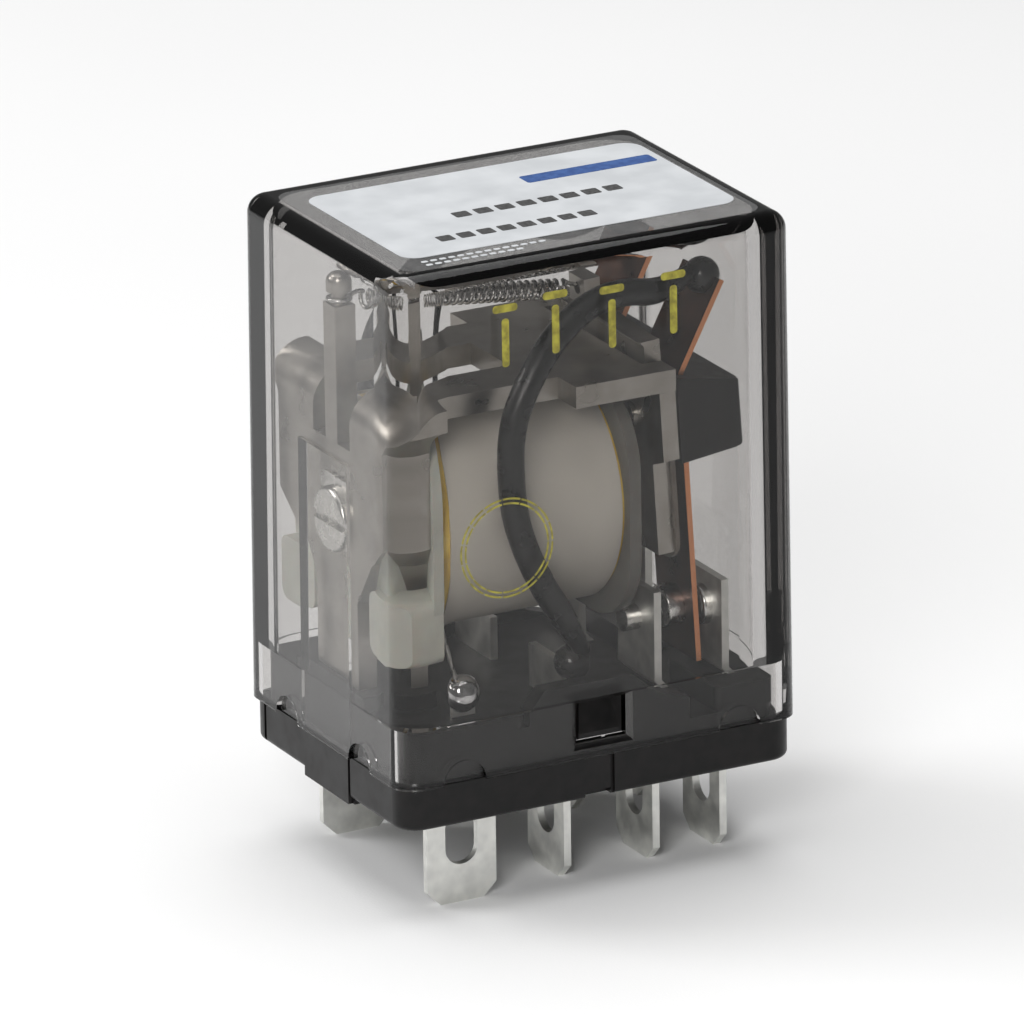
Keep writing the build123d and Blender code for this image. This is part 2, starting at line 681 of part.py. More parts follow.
block_solid = insulator_block.part - block_rivets.part
arm_half = ARM_THICKNESS / 2
arm_turn = atan2(ARM_TIP[0] - ARM_U, ARM_TIP[1] - ARM_BEND)
arm_miter = arm_half * tan(arm_turn / 2)
tip_u = arm_half * cos(arm_turn)
tip_w = arm_half * sin(arm_turn)
arm_middle = (ARM_IN + ARM_OUT) / 2
for side_name, side in SIDES.items():
    with BuildPart() as arm:
        with BuildSketch(swing_plane(side * arm_middle)):
            with BuildLine():
                Polyline(
                    (ARM_U - arm_half, ARM_BOTTOM),
                    (ARM_U - arm_half, ARM_BEND + arm_miter),
                    (ARM_TIP[0] - tip_u, ARM_TIP[1] + tip_w),
                    (ARM_TIP[0] + tip_u, ARM_TIP[1] - tip_w),
                    (ARM_U + arm_half, ARM_BEND - arm_miter),
                    (ARM_U + arm_half, ARM_BOTTOM),
                    close=True,
                )
            make_face()
        extrude(amount=(ARM_OUT - ARM_IN) / 2, both=True)
    with BuildPart() as contact:
        with BuildSketch(swing_face(MOVING_U[0])):
            with Locations((side * arm_middle, CONTACT_Z - HINGE_Z)):
                Circle(MOVING_RADIUS)
        extrude(amount=MOVING_U[1] - MOVING_U[0])
        fillet(contact.edges().sort_by(Axis.X)[0], MOVING_EDGE)
        fillet(contact.edges().sort_by(Axis.X)[-1], MOVING_EDGE)
    block_solid -= arm.part
    pieces[f"moving_contact_{side_name}"] = contact.part
    pieces[f"moving_arm_{side_name}"] = arm.part - contact.part
pieces["insulator_block"] = block_solid
pieces["armature"] = armature.part - block_rivets.part
pieces["insulating_sheet"] = insulating_sheet.part - block_rivets.part
pieces["block_rivets"] = block_rivets.part

# ---- Flexible leads, soldered to the arms and to the common blades ---------------------------------
for side_name, side in SIDES.items():
    points = [(x, side * y, z) for x, y, z in PIGTAIL_ROUTE]
    route = wire_route(points)
    pigtail = round_wire(route, PIGTAIL_RADIUS)
    length = sum(edge.length for edge in route.edges())
    section = pi * PIGTAIL_RADIUS**2
    print(side_name, "pigtail length", round(length, 1))
    print(side_name, "pigtail bend radii", [round(radius, 1) for radius in bend_radii(points)])
    print(side_name, "pigtail volume over section x length", round(pigtail.volume / (section * length), 4))
    arm_end = swing_point(ARM_TIP[0], ARM_TIP[1], side * PIGTAIL_ROUTE[0][1])
    with BuildPart() as arm_joint:
        with Locations((arm_end[0] - ARM_JOINT_SHIFT, arm_end[1], arm_end[2])):
            Sphere(ARM_JOINT_RADIUS)
    with BuildPart() as foot_joint:
        with Locations((COMMON_X + FOOT_JOINT_SHIFT, side * PIGTAIL_ROUTE[-1][1], COMMON_TOP)):
            Sphere(FOOT_JOINT_RADIUS)
    pieces[f"pigtail_{side_name}"] = pigtail
    pieces[f"arm_joint_{side_name}"] = arm_joint.part - pieces[f"moving_arm_{side_name}"] - pigtail
    pieces[f"foot_joint_{side_name}"] = foot_joint.part - pieces[f"common_blade_{side_name}"] - pigtail

# ---- Return spring: a closed sleeve with a ring on the post and a hook through the tab ---------------
spring_run = Vector(SPRING_RIGHT[0] - SPRING_LEFT[0], 0, SPRING_RIGHT[1] - SPRING_LEFT[1])
with BuildPart() as spring_body:
    with BuildSketch(Plane(origin=(SPRING_LEFT[0], 0, SPRING_LEFT[1]), x_dir=(0, 1, 0), z_dir=spring_run)):
        Circle(SPRING_RADIUS)
        Circle(SPRING_RADIUS - 2 * SPRING_WIRE_RADIUS, mode=Mode.SUBTRACT)
    extrude(amount=spring_run.length)
ring_radius = POST_NECK_RADIUS + SPRING_WIRE_RADIUS + RING_PLAY
with BuildPart() as spring_ring:
    with Locations((post_x, 0, SPRING_RING_Z)):
        Torus(ring_radius, SPRING_WIRE_RADIUS)
coil_rise = SPRING_RADIUS - SPRING_WIRE_RADIUS
left_hook_route = wire_route([
    (post_x + ring_radius, 0, SPRING_RING_Z),
    (post_x + ring_radius + HOOK_RUN, 0, SPRING_RING_Z + HOOK_RISE),
    (SPRING_LEFT[0] + HOOK_OVERLAP, 0, SPRING_LEFT[1] + coil_rise),
])
tab_hole = swing_point(TAB_U, TAB_HOLE_W, 0)
right_hook_route = wire_route([
    (SPRING_RIGHT[0] - HOOK_OVERLAP, 0, SPRING_RIGHT[1] + coil_rise),
    (SPRING_RIGHT[0] + HOOK_NECK, 0, tab_hole[2] + HOOK_LIFT),
    (tab_hole[0] + HOOK_REACH, 0, tab_hole[2]),
])
left_hook = round_wire(left_hook_route, SPRING_WIRE_RADIUS)
right_hook = round_wire(right_hook_route, SPRING_WIRE_RADIUS)
pieces["return_spring"] = spring_body.part + spring_ring.part + left_hook + right_hook

# ---- Base --------------------------------------------------------------------------------------
body_half = BODY_WIDTH / 2
body_left = -BODY_LENGTH / 2
with BuildPart() as base:
    with BuildSketch():
        RectangleRounded(FLANGE_LENGTH, FLANGE_WIDTH, FLANGE_CORNER)
    extrude(amount=FLANGE_HEIGHT)
    fillet(base.faces().sort_by(Axis.Z)[0].edges(), FLANGE_EDGE)
    with BuildSketch(Plane.XY.offset(FLANGE_HEIGHT)):
        RectangleRounded(BODY_LENGTH, BODY_WIDTH, BODY_CORNER)
    extrude(amount=CHANNEL_TOP - FLANGE_HEIGHT)
    for right, top in ((PLATEAU_END, PLATEAU_TOP), (COIL_END_X, COIL_END_TOP)):
        with BuildSketch(Plane.XY.offset(CHANNEL_TOP)):
            with Locations(((body_left + right) / 2, 0)):
                RectangleRounded(right - body_left, BODY_WIDTH, BODY_CORNER)
        extrude(amount=top - CHANNEL_TOP)
    with BuildSketch(Plane.XY.offset(CHANNEL_TOP)):
        with Locations(((LEG_BLOCK_LEFT + LEG_BLOCK_RIGHT) / 2, 0)):
            Rectangle(LEG_BLOCK_RIGHT - LEG_BLOCK_LEFT, 2 * LEG_BLOCK_HALF)
    extrude(amount=LEG_BLOCK_TOP - CHANNEL_TOP)
    for side in SIDES.values():
        # The tower round the outermost contact blade.
        with BuildSketch(Plane.XY.offset(CHANNEL_TOP)):
            with Locations(((TOWER_LEFT + TOWER_RIGHT) / 2, side * (TOWER_IN + body_half) / 2)):
                RectangleRounded(TOWER_RIGHT - TOWER_LEFT, body_half - TOWER_IN, TOWER_CORNER)
        extrude(amount=TOWER_TOP - CHANNEL_TOP)
        # The wall behind the latch window, with sloping shoulders.
        with BuildSketch(cross_plane(side * (WALL_IN + body_half) / 2)):
            with BuildLine():
                Polyline(*WALL_OUTLINE, close=True)
            make_face()
        extrude(amount=(body_half - WALL_IN) / 2, both=True)
        # The latch ramp stands proudest at its lower edge.
        with BuildSketch(cross_plane(side * body_half)):
            with BuildLine():
                Polyline(
                    (-RAMP_BOTTOM_HALF, RAMP_BOTTOM),
                    (RAMP_BOTTOM_HALF, RAMP_BOTTOM),
                    (RAMP_TOP_HALF, RAMP_TOP),
                    (-RAMP_TOP_HALF, RAMP_TOP),
                    close=True,
                )
            make_face()
        extrude(amount=-side * RAMP_REACH)
        with BuildSketch(end_plane(-RAMP_BOTTOM_HALF - CUT_PAST)):
            with BuildLine():
                Polyline(
                    (side * (body_half + RAMP_REACH), RAMP_BOTTOM + RAMP_LIP),
                    (side * (body_half + RAMP_REACH + CUT_PAST), RAMP_BOTTOM + RAMP_LIP),
                    (side * (body_half + RAMP_REACH + CUT_PAST), RAMP_TOP + RAMP_TOP_STEP),
                    (side * (body_half + RAMP_TOP_STEP), RAMP_TOP + RAMP_TOP_STEP),
                    close=True,
                )
            make_face()
        extrude(amount=2 * (RAMP_BOTTOM_HALF + CUT_PAST), mode=Mode.SUBTRACT)
    # A pad stands below the flange's coil end, flush with the end face.
    with BuildSketch(Plane.XY.offset(-PAD_DROP)):
        with Locations(((PAD_LEFT + PAD_RIGHT) / 2, 0)):
            Rectangle(PAD_RIGHT - PAD_LEFT, 2 * PAD_HALF)
    extrude(amount=PAD_DROP + FLANGE_HEIGHT)
    # A notch and a groove in the flange's front, and two grooves in its coil end.
    with BuildSketch():
        with Locations(((NOTCH_LEFT + NOTCH_RIGHT) / 2, (NOTCH_DEPTH - FLANGE_WIDTH) / 2)):
            Rectangle(NOTCH_RIGHT - NOTCH_LEFT, NOTCH_DEPTH)
    extrude(amount=NOTCH_HEIGHT, mode=Mode.SUBTRACT)
    with BuildSketch():
        with Locations((FRONT_GROOVE_X, -FLANGE_WIDTH / 2)):
            Rectangle(FRONT_GROOVE_WIDTH, 2 * FRONT_GROOVE_DEPTH)
    extrude(amount=FLANGE_HEIGHT, mode=Mode.SUBTRACT)
    with BuildSketch(Plane.XY.offset(-PAD_DROP)):
        with Locations(*[(-FLANGE_LENGTH / 2, y) for y in END_GROOVE_YS]):
            Rectangle(2 * END_GROOVE_WIDTH, END_GROOVE_WIDTH)
    extrude(amount=PAD_DROP + FLANGE_HEIGHT, mode=Mode.SUBTRACT)
base_solid = base.part - yoke.part
for name in blade_names:
    base_solid -= pieces[name]

# ---- Cover --------------------------------------------------------------------------------------
cover_height = COVER_TOP - COVER_BOTTOM
draft_angle = degrees(atan2(COVER_DRAFT, cover_height))
with BuildPart() as cover:
    with BuildSketch(Plane.XY.offset(COVER_BOTTOM)):
        RectangleRounded(COVER_LENGTH, COVER_WIDTH, COVER_CORNER)
    extrude(amount=cover_height, taper=draft_angle)
    fillet(cover.faces().sort_by(Axis.Z)[-1].edges(), COVER_EDGE)
    with BuildSketch(Plane.XY.offset(COVER_BOTTOM)):
        RectangleRounded(COVER_LENGTH - 2 * WALL, COVER_WIDTH - 2 * WALL, INNER_CORNER)
    extrude(amount=cover_height - ROOF, taper=draft_angle, mode=Mode.SUBTRACT)
    with BuildSketch(Plane.XY.offset(COVER_BOTTOM)):
        RectangleRounded(COVER_LENGTH - 2 * SKIRT_WALL, COVER_WIDTH - 2 * SKIRT_WALL, SKIRT_CORNER)
    extrude(amount=SKIRT_TOP - COVER_BOTTOM, mode=Mode.SUBTRACT)
    # A shallow channel inside the coil end clears the core screw.
    with BuildSketch(end_plane(WALL - COVER_LENGTH / 2 - GROOVE_DEPTH)):
        with Locations((0, (GROOVE_TOP + COVER_BOTTOM) / 2)):
            Rectangle(2 * GROOVE_HALF_WIDTH, GROOVE_TOP - COVER_BOTTOM)
    extrude(amount=2 * GROOVE_DEPTH, mode=Mode.SUBTRACT)
    # The latch windows.
    with BuildSketch(Plane.XZ):
        with Locations((0, WINDOW_BOTTOM + WINDOW_HEIGHT / 2)):
            Rectangle(WINDOW_WIDTH, WINDOW_HEIGHT)
    extrude(amount=COVER_WIDTH, both=True, mode=Mode.SUBTRACT)
    for side in SIDES.values():
        # The window's outer edges slope inwards all round.
        outer_y = side * COVER_WIDTH / 2
        window_z = WINDOW_BOTTOM + WINDOW_HEIGHT / 2
        with BuildSketch(Plane(origin=(0, outer_y, window_z), x_dir=(1, 0, 0), z_dir=(0, -side, 0))):
            Rectangle(WINDOW_WIDTH + 2 * WINDOW_BEVEL, WINDOW_HEIGHT + 2 * WINDOW_BEVEL)
        extrude(amount=WINDOW_BEVEL, taper=45, mode=Mode.SUBTRACT)
        # Half-moon recesses in the outer faces, centred on the lower rim.
        with BuildSketch(cross_plane(side * (COVER_WIDTH / 2 - MOON_DEPTH))):
            with Locations((-MOON_X, COVER_BOTTOM), (MOON_X, COVER_BOTTOM)):
                Circle(MOON_RADIUS)
        extrude(amount=-side, mode=Mode.SUBTRACT)
        with BuildSketch(end_plane(side * (COVER_LENGTH / 2 - MOON_DEPTH))):
            with Locations((-MOON_Y, COVER_BOTTOM), (MOON_Y, COVER_BOTTOM)):
                Circle(MOON_RADIUS)
        extrude(amount=side, mode=Mode.SUBTRACT)

with BuildPart() as label:
    with BuildSketch(Plane.XY.offset(COVER_TOP)):
        with Locations((0, LABEL_Y)):
            RectangleRounded(LABEL_LENGTH, LABEL_WIDTH, LABEL_CORNER)
    extrude(amount=LABEL_THICKNESS)

# ---- Write the pieces ------------------------------------------------------------------------------
pieces["base"] = base_solid
pieces["cover"] = cover.part
pieces["label"] = label.part
pieces["yoke"] = yoke.part
pieces["core"] = core.part
pieces["shading_ring"] = shading_ring.part
pieces["core_washer"] = core_washer.part
pieces["core_screw"] = core_screw.part
pieces["bobbin"] = bobbin.part - yoke.part
for name, solid in pieces.items():
    finish(solid, name)
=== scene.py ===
"""Looks for the plug-in relay: materials, wound spring, flexible leads, print, lights, camera."""
from math import cos, pi, radians, sin

import bpy
from mathutils import Matrix, Vector


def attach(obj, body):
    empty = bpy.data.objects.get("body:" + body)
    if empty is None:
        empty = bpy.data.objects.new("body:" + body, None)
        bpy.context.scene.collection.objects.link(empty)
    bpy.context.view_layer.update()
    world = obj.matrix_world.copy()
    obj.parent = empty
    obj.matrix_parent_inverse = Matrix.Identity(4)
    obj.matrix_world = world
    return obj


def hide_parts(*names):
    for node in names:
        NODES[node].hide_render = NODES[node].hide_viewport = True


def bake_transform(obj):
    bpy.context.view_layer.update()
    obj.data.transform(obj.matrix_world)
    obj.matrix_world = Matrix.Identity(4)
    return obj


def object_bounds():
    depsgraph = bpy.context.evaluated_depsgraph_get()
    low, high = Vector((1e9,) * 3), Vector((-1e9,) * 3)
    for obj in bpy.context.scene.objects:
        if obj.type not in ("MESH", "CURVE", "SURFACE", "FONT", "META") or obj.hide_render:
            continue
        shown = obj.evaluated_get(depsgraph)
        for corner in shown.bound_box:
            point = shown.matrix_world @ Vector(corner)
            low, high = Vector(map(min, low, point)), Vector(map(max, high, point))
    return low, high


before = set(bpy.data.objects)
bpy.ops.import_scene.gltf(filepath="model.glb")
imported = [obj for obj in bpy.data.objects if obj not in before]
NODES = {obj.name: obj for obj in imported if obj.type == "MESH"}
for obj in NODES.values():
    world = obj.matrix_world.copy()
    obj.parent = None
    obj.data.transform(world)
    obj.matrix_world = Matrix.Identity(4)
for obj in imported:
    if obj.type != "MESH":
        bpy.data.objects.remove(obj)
CAD_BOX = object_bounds()
MM = 0.001
SIDES = {"front": -1, "back": 1}


# ---- Camera: position, turn and lens of the fitted view --------------------------------------
YAW, PITCH, ROLL = radians(27.57), radians(19.43), radians(-0.83)
FOCAL_SHARE = 12386 / 1024
OFFSET = Vector((0.697, 14.562, 773.3))
SENSOR_WIDTH = 36


def make_camera():
    """The camera looks along +Y turned by the yaw, tilted down by the pitch."""
    forward = Vector((sin(YAW) * cos(PITCH), cos(YAW) * cos(PITCH), -sin(PITCH)))
    right = Vector((cos(YAW), -sin(YAW), 0))
    down = forward.cross(right)
    rolled_right = cos(ROLL) * right - sin(ROLL) * down
    rolled_down = sin(ROLL) * right + cos(ROLL) * down
    place = -(rolled_right * OFFSET.x + rolled_down * OFFSET.y + forward * OFFSET.z) * MM
    data = bpy.data.cameras.new("camera")
    data.sensor_width = SENSOR_WIDTH
    data.lens = SENSOR_WIDTH * FOCAL_SHARE
    data.clip_start = 0.01
    data.clip_end = 20
    data.dof.use_dof = False
    camera = bpy.data.objects.new("camera", data)
    bpy.context.scene.collection.objects.link(camera)
    turn = Matrix((rolled_right, -rolled_down, -forward)).transposed()
    camera.matrix_world = Matrix.Translation(place) @ turn.to_4x4()
    bpy.context.scene.camera = camera


make_camera()


# ---- Node helpers -------------------------------------------------------------------------------
def new_tree(name):
    """A material with only a Principled shader and an output."""
    material = bpy.data.materials.new(name)
    material.use_nodes = True
    tree = material.node_tree
    return material, tree, tree.nodes["Principled BSDF"], tree.nodes["Material Output"]


def noise(tree, scale, detail=4, stretch=(1, 1, 1)):
    """A noise texture over the row frame's own coordinates, scale in features per metre."""
    place = tree.nodes.new("ShaderNodeTexCoord")
    mapping = tree.nodes.new("ShaderNodeMapping")
    mapping.inputs["Scale"].default_value = stretch
    texture = tree.nodes.new("ShaderNodeTexNoise")
    texture.inputs["Scale"].default_value = scale
    texture.inputs["Detail"].default_value = detail
    tree.links.new(place.outputs["Object"], mapping.inputs["Vector"])
    tree.links.new(mapping.outputs["Vector"], texture.inputs["Vector"])
    return texture.outputs["Fac"]


def ramp(tree, value, stops):
    """A colour ramp from (position, colour) stops; a number as colour gives a grey."""
    node = tree.nodes.new("ShaderNodeValToRGB")
    while len(node.color_ramp.elements) < len(stops):
        node.color_ramp.elements.new(0.5)
    for element, (at, colour) in zip(node.color_ramp.elements, stops):
        element.position = at
        element.color = (*colour, 1) if isinstance(colour, tuple) else (colour, colour, colour, 1)
    tree.links.new(value, node.inputs["Fac"])
    return node.outputs["Color"]


def bump(tree, shader, height, strength, distance):
    """Bump from a height, distance in metres."""
    node = tree.nodes.new("ShaderNodeBump")
    node.inputs["Strength"].default_value = strength
    node.inputs["Distance"].default_value = distance
    tree.links.new(height, node.inputs["Height"])
    tree.links.new(node.outputs["Normal"], shader.inputs["Normal"])


def surface(name, dark, light, rough, metal=0.0, scale=900, stretch=(1, 1, 1), relief=0.00002,
            grain=6000, coat=0.0, specular=0.5):
    """Colour and roughness vary with a coarse noise; a relief above zero adds a finer bump."""
    material, tree, shader, _ = new_tree(name)
    coarse = noise(tree, scale, 2, stretch)
    tree.links.new(ramp(tree, coarse, [(0.34, dark), (0.66, light)]), shader.inputs["Base Color"])
    tree.links.new(ramp(tree, coarse, [(0.3, rough[0]), (0.7, rough[1])]), shader.inputs["Roughness"])
    shader.inputs["Metallic"].default_value = metal
    shader.inputs["Coat Weight"].default_value = coat
    shader.inputs["Specular IOR Level"].default_value = specular
    if relief:
        bump(tree, shader, noise(tree, grain, 2, stretch), 0.5, relief)
    return material


def assign(material, *names):
    """Gives CAD nodes one material."""
    for name in names:
        data = NODES[name].data
        data.materials.clear()
        data.materials.append(material)


# ---- Materials ----------------------------------------------------------------------------------
plated = surface("plated_steel", (0.33, 0.31, 0.28), (0.46, 0.435, 0.4), (0.26, 0.38), 1.0, 420,
                 relief=0.000008, grain=1800)
blade = surface("tinned_blade", (0.72, 0.72, 0.69), (0.9, 0.9, 0.86), (0.38, 0.54), 1.0, 800,
                relief=0.00001, grain=5000)
screw = surface("screw_steel", (0.55, 0.54, 0.51), (0.75, 0.74, 0.71), (0.16, 0.3), 1.0, 1500)
iron = surface("core_iron", (0.3, 0.29, 0.28), (0.45, 0.44, 0.42), (0.3, 0.5), 1.0, 900)
silver = surface("contact_silver", (0.6, 0.59, 0.57), (0.86, 0.85, 0.83), (0.14, 0.3), 1.0, 1600)
ring = surface("ring_copper", (0.26, 0.12, 0.07), (0.48, 0.23, 0.13), (0.26, 0.4), 1.0, 600, (1, 1, 0.3))
solder = surface("solder", (0.55, 0.55, 0.56), (0.82, 0.82, 0.83), (0.07, 0.2), 1.0, 1200,
                 relief=0.00022, grain=900)
tinned_wire = surface("tinned_wire", (0.3, 0.29, 0.27), (0.5, 0.49, 0.47), (0.25, 0.4), 1.0, 1200, relief=0)
moulding = surface("base_moulding", (0.003, 0.003, 0.003), (0.008, 0.007, 0.007), (0.3, 0.44), 0.0,
                   900, relief=0, specular=0.25)
block = surface("block_moulding", (0.003, 0.003, 0.003), (0.008, 0.007, 0.006), (0.28, 0.4), 0.0, 800,
                relief=0, specular=0.3)
sheet = surface("insulating_sheet", (0.12, 0.1, 0.08), (0.2, 0.17, 0.14), (0.3, 0.5), 0.0, 700)
sleeve = surface("lead_sleeve", (0.003, 0.003, 0.003), (0.008, 0.008, 0.008), (0.24, 0.36), 0.0, 900,
                 relief=0, specular=0.4)
dark_joint = surface("dark_joint", (0.004, 0.004, 0.004), (0.02, 0.018, 0.016), (0.2, 0.35), 0.0, 900,
                     relief=0.00002, grain=900)
film = surface("yellow_film", (0.6, 0.36, 0.03), (0.86, 0.6, 0.1), (0.14, 0.28), 0.0, 500, coat=0.3)
tape = surface("coil_tape", (0.56, 0.53, 0.47), (0.66, 0.63, 0.57), (0.3, 0.45), 0.0, 220,
               (1, 0.4, 0.4), 0.00002, 900, 0.15)
spring = surface("spring_wire", (0.42, 0.41, 0.4), (0.68, 0.67, 0.65), (0.18, 0.32), 1.0, 1600)


def wound_copper():
    """Fine turns of enamelled wire, seen as bands across the coil's axis."""
    material, tree, shader, _ = new_tree("wound_copper")
    place = tree.nodes.new("ShaderNodeTexCoord")
    wave = tree.nodes.new("ShaderNodeTexWave")
    wave.inputs["Scale"].default_value = 1600
    wave.inputs["Distortion"].default_value = 0.4
    tree.links.new(place.outputs["Object"], wave.inputs["Vector"])
    colour = ramp(tree, wave.outputs["Fac"], [(0.0, (0.22, 0.06, 0.02)), (1.0, (0.62, 0.24, 0.1))])
    tree.links.new(colour, shader.inputs["Base Color"])
    shader.inputs["Metallic"].default_value = 0.9
    shader.inputs["Roughness"].default_value = 0.3
    bump(tree, shader, wave.outputs["Fac"], 0.7, 0.00004)
    return material


def arm_strip():
    """Rolled copper strip: painted shade makes its broad faces black-brown; its cut edges are bright
    orange.
    """
    material, tree, shader, _ = new_tree("arm_copper")
    place = tree.nodes.new("ShaderNodeTexCoord")
    split = tree.nodes.new("ShaderNodeSeparateXYZ")
    size = tree.nodes.new("ShaderNodeMath")
    size.operation = "ABSOLUTE"
    tree.links.new(place.outputs["Normal"], split.inputs["Vector"])
    tree.links.new(split.outputs["Y"], size.inputs[0])
    mix = tree.nodes.new("ShaderNodeMix")
    mix.data_type = "RGBA"
    coarse = noise(tree, 600, 2)
    # Painted shade: faces turned away from ±Y take this near-black copper, chosen by facing direction.
    painted_shade_broad = ramp(tree, coarse, [(0.3, (0.06, 0.03, 0.02)), (0.7, (0.12, 0.06, 0.04))])
    edge = ramp(tree, coarse, [(0.3, (0.6, 0.24, 0.11)), (0.7, (0.8, 0.36, 0.18))])
    tree.links.new(ramp(tree, size.outputs["Value"], [(0.6, 0.0), (0.8, 1.0)]), mix.inputs["Factor"])
    tree.links.new(painted_shade_broad, mix.inputs["A"])
    tree.links.new(edge, mix.inputs["B"])
    tree.links.new(mix.outputs["Result"], shader.inputs["Base Color"])
    tree.links.new(ramp(tree, coarse, [(0.3, 0.26), (0.7, 0.4)]), shader.inputs["Roughness"])
    shader.inputs["Metallic"].default_value = 1.0
    return material


def bobbin_plastic():
    """White at the coil's left flange and lugs; painted shade makes it grey at the right flange; slightly
    waxy.
    """
    material, tree, shader, _ = new_tree("bobbin_plastic")
    place = tree.nodes.new("ShaderNodeTexCoord")
    split = tree.nodes.new("ShaderNodeSeparateXYZ")
    # Painted shade: the plastic goes from white to grey across x = -2 to +2 mm, towards the right flange.
    shade_side = tree.nodes.new("ShaderNodeMapRange")
    shade_side.inputs["From Min"].default_value = -0.002
    shade_side.inputs["From Max"].default_value = 0.002
    tree.links.new(place.outputs["Object"], split.inputs["Vector"])
    tree.links.new(split.outputs["X"], shade_side.inputs["Value"])
    mix = tree.nodes.new("ShaderNodeMix")
    mix.data_type = "RGBA"
    coarse = noise(tree, 500)
    white = ramp(tree, coarse, [(0.3, (0.44, 0.45, 0.4)), (0.7, (0.54, 0.55, 0.49))])
    painted_shade_grey = ramp(tree, coarse, [(0.3, (0.12, 0.115, 0.1)), (0.7, (0.17, 0.165, 0.15))])
    tree.links.new(shade_side.outputs["Result"], mix.inputs["Factor"])
    tree.links.new(white, mix.inputs["A"])
    tree.links.new(painted_shade_grey, mix.inputs["B"])
    tree.links.new(mix.outputs["Result"], shader.inputs["Base Color"])
    tree.links.new(ramp(tree, coarse, [(0.3, 0.3), (0.7, 0.45)]), shader.inputs["Roughness"])
    shader.inputs["Subsurface Weight"].default_value = 0.15
    shader.inputs["Subsurface Scale"].default_value = 0.001
    bump(tree, shader, noise(tree, 4000), 0.4, 0.00002)
    return material


def clear_cover():
    """Smoky clear plastic: absorbs along its thickness, so edges seen end-on go near black."""
    material, tree, shader, output = new_tree("clear_cover")
    shader.inputs["Base Color"].default_value = (0.79, 0.78, 0.77, 1)
    shader.inputs["Transmission Weight"].default_value = 1.0
    shader.inputs["IOR"].default_value = 1.5
    shader.inputs["Specular Tint"].default_value = (0.55, 0.55, 0.55, 1)
    specks = ramp(tree, noise(tree, 1400, 2), [(0.7, 0.01), (0.85, 0.1)])
    tree.links.new(specks, shader.inputs["Roughness"])
    bump(tree, shader, noise(tree, 60, 2), 0.15, 0.00005)
    lamp = tree.nodes.new("ShaderNodeBsdfTransparent")
    lamp.inputs["Color"].default_value = (0.8, 0.79, 0.78, 1)
    path = tree.nodes.new("ShaderNodeLightPath")
    mix = tree.nodes.new("ShaderNodeMixShader")
    tree.links.new(path.outputs["Is Shadow Ray"], mix.inputs["Fac"])
    tree.links.new(shader.outputs["BSDF"], mix.inputs[1])
    tree.links.new(lamp.outputs["BSDF"], mix.inputs[2])
    tree.links.new(mix.outputs["Shader"], output.inputs["Surface"])
    smoke = tree.nodes.new("ShaderNodeVolumeAbsorption")
    smoke.inputs["Color"].default_value = (0.2, 0.18, 0.17, 1)
    smoke.inputs["Density"].default_value = 145
    tree.links.new(smoke.outputs["Volume"], output.inputs["Volume"])
    return material


assign(plated, "yoke", "armature")
assign(iron, "core")
assign(screw, "core_screw", "core_washer", "block_rivets")
assign(ring, "shading_ring")
assign(arm_strip(), "moving_arm_front", "moving_arm_back")
assign(moulding, "base")
assign(block, "insulator_block")
assign(sheet, "insulating_sheet")
assign(film, "insulating_film")
assign(tape, "coil_tape")
assign(bobbin_plastic(), "bobbin")
assign(clear_cover(), "cover")
copper = wound_copper()
assign(copper, "coil_winding")
for side_name in SIDES:
    for kind in ("coil_blade", "common_blade", "open_blade", "closed_blade"):
        assign(blade, f"{kind}_{side_name}")
    for kind in ("open_contact", "closed_contact", "moving_contact"):
        assign(silver, f"{kind}_{side_name}")
    assign(tinned_wire, f"coil_lead_{side_name}")
    assign(solder, f"coil_joint_{side_name}")
    assign(dark_joint, f"foot_joint_{side_name}", f"arm_joint_{side_name}")


# ---- Wires as swept curves, turned to mesh --------------------------------------------------------
def tube_mesh(name, routes, radius, material, tips=1.0):
    """One mesh from several routes in millimetres: (points, closed) pairs, smooth in between.

    tips is the share of the radius left at the ends of an open route.
    """
    curve = bpy.data.curves.new(name, "CURVE")
    curve.dimensions = "3D"
    curve.bevel_depth = radius * MM
    curve.bevel_resolution = 6
    curve.use_fill_caps = True
    for points, closed in routes:
        spline = curve.splines.new("NURBS")
        spline.points.add(len(points) - 1)
        for point, place in zip(spline.points, points):
            point.co = (place[0] * MM, place[1] * MM, place[2] * MM, 1)
        spline.points[0].radius = spline.points[-1].radius = tips
        spline.order_u = 3
        spline.use_endpoint_u = not closed
        spline.use_cyclic_u = closed
        spline.resolution_u = 8
    holder = bpy.data.objects.new(name + "_curve", curve)
    bpy.context.scene.collection.objects.link(holder)
    bpy.context.view_layer.update()
    mesh = bpy.data.meshes.new_from_object(holder.evaluated_get(bpy.context.evaluated_depsgraph_get()))
    bpy.data.objects.remove(holder)
    mesh.name = name
    mesh.materials.clear()
    mesh.materials.append(material)
    for face in mesh.polygons:
        face.use_smooth = True
    piece = bpy.data.objects.new(name, mesh)
    bpy.context.scene.collection.objects.link(piece)
    return piece


PIGTAIL_RADIUS = 0.85
PIGTAIL_ROUTE = [
    (9.26, 5.0, 31.2), (7.0, 5.5, 30.3), (3.9, 6.0, 31.1), (0.98, 6.8, 30.9), (-1.9, 7.8, 29.5),
    (-4.0, 8.38, 27.1), (-5.2, 8.42, 24.4), (-5.25, 8.42, 20.7), (-4.8, 8.42, 17.7),
    (-3.3, 8.42, 14.1), (-1.35, 8.0, 11.2), (0.35, 6.95, 8.6),
]
for side_name, side in SIDES.items():
    route = [(x, side * y, z) for x, y, z in PIGTAIL_ROUTE]
    lead = tube_mesh(f"lead_{side_name}", [(route, False)], PIGTAIL_RADIUS, sleeve, 0.6)
    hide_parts(f"pigtail_{side_name}")
    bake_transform(lead)

